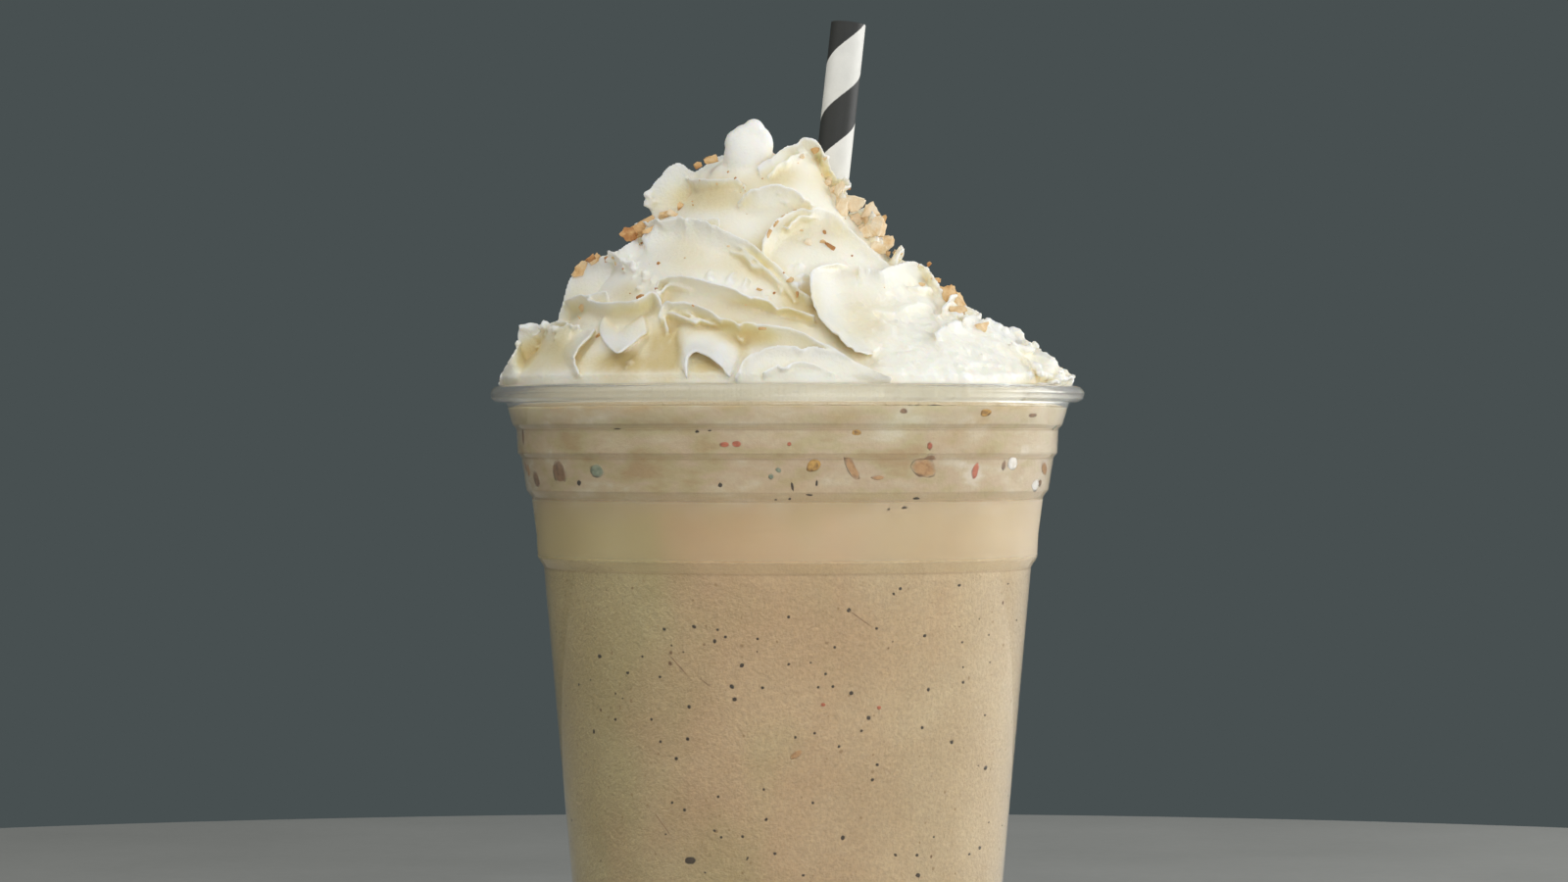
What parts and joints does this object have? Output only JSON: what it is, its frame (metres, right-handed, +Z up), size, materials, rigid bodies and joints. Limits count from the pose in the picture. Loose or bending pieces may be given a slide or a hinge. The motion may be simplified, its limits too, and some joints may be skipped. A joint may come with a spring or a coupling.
{
  "type": "chai frappe",
  "caption": "Blended iced chai in a clear plastic cup, heaped with ruffled whipped cream and biscuit crumbs, with a striped paper straw.",
  "frame": {"origin": "middle of the cup's base, on the plane it stands on", "axes": "+Z up along the cup's axis; -Y faces the front, the side that the picture shows; +X to the right of that view"},
  "size_m": [0.098, 0.098, 0.1812],
  "materials": {
    "cup": "clear glossy plastic",
    "frappe": "thick blended drink, fine specks of spice",
    "cream": "soft whipped cream with biscuit crumbs",
    "straw": "matte paper, white with a black spiral stripe"
  },
  "bodies": {
    "root": {"cup": "cup", "frappe": "frappe", "cream": "cream", "straw": "straw"}
  },
  "joints": []
}
